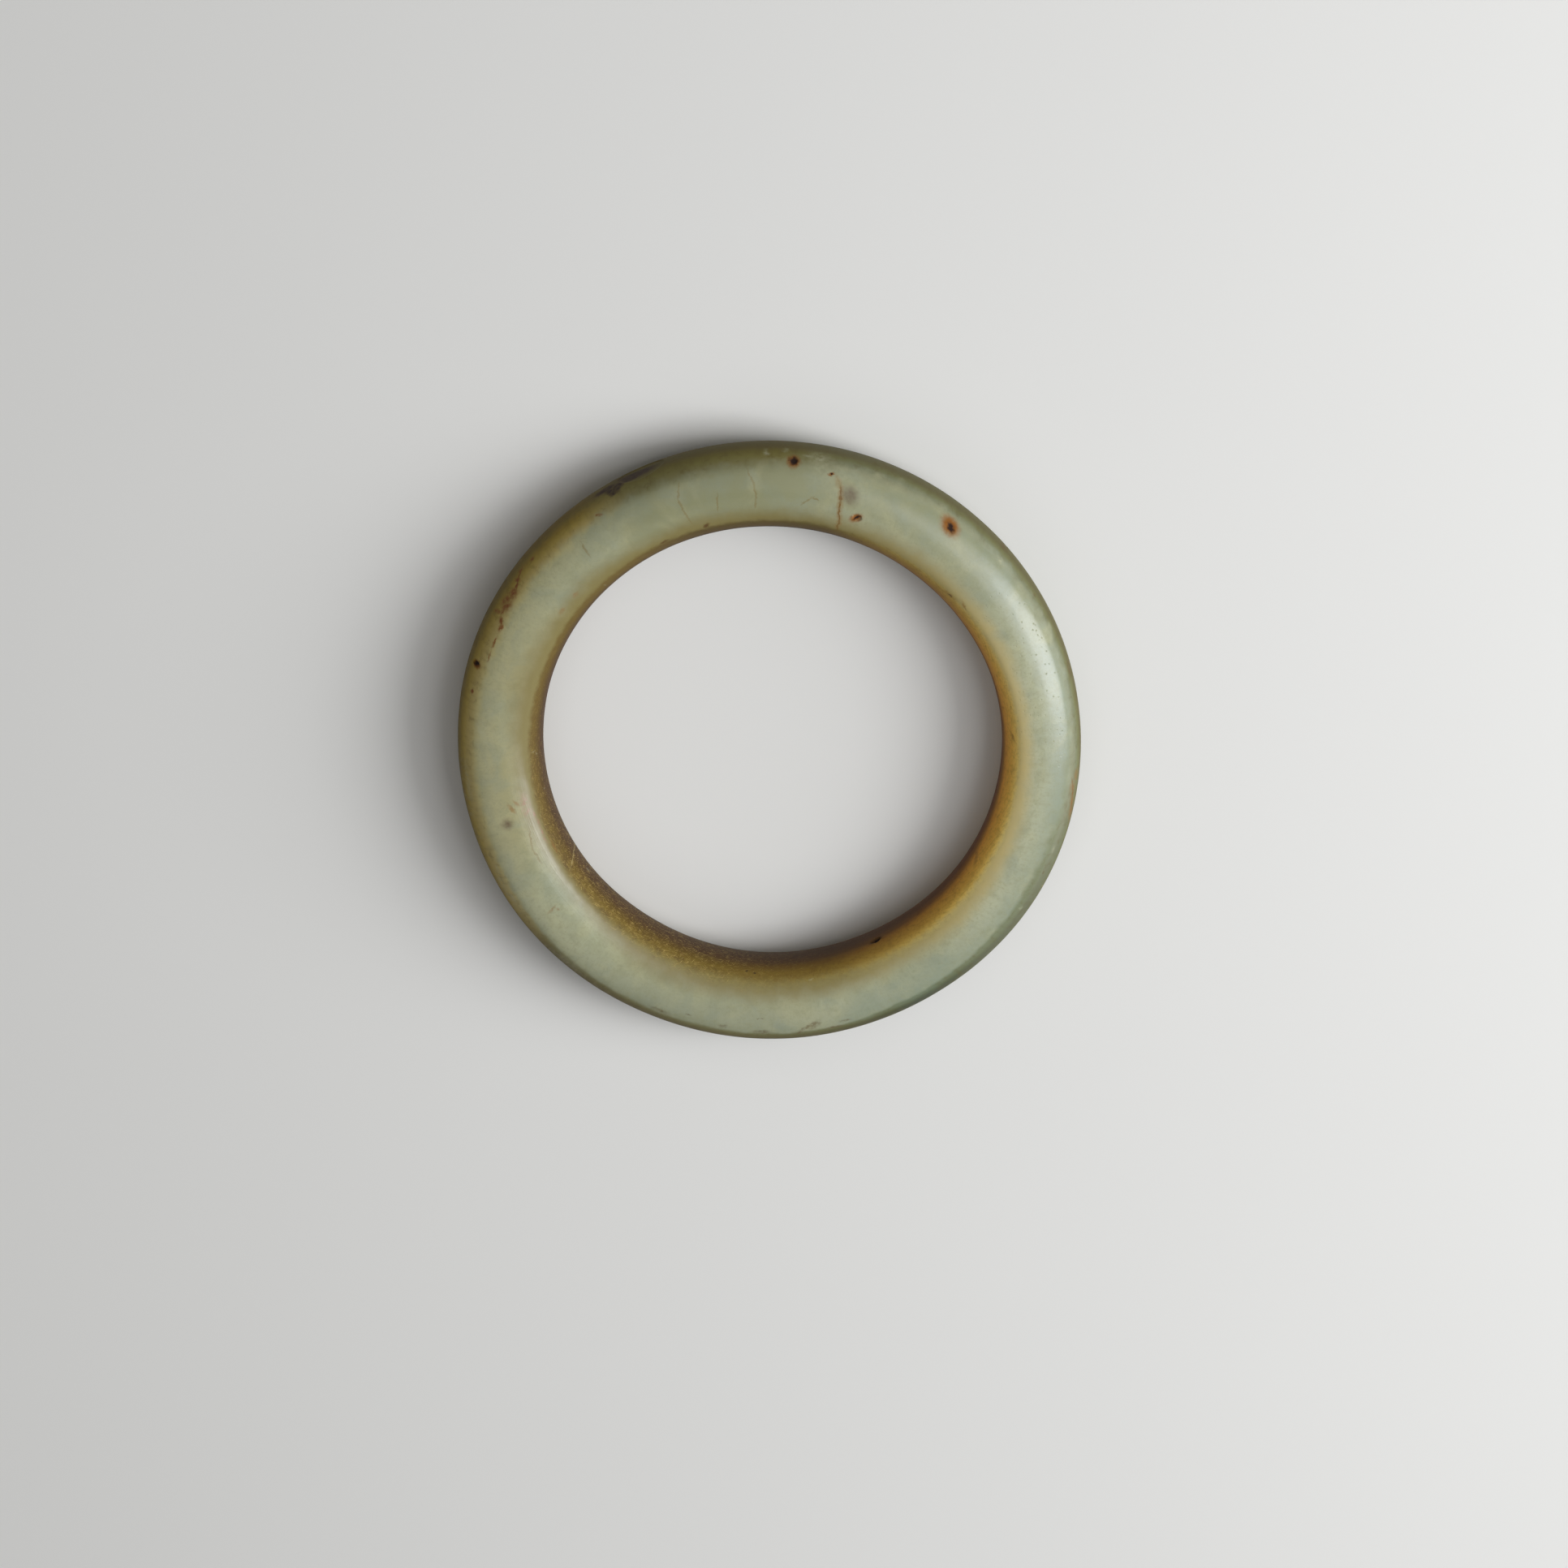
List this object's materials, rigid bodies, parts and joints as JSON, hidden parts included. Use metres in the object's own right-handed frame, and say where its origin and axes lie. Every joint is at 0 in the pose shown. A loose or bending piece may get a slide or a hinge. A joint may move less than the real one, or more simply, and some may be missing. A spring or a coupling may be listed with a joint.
{
  "type": "jade bangle",
  "caption": "Closed one-piece jade bangle: a thick hand-ground ring with a rounded section, a round wrist hole and a narrow flat underside that it rests on.",
  "frame": {"origin": "middle of the ring, at the level of the surface that it lies on", "axes": "+Z along the ring's axis, up out of the surface that it lies on; +X towards the thin side of the band, where the drilled hole runs closest to the outer wall; +Y towards the side with the open pit and the two dark pits"},
  "size_m": [0.0799, 0.0804, 0.0112],
  "materials": {
    "jade": "gloss"
  },
  "bodies": {
    "root": {"bangle": "jade"}
  },
  "joints": []
}
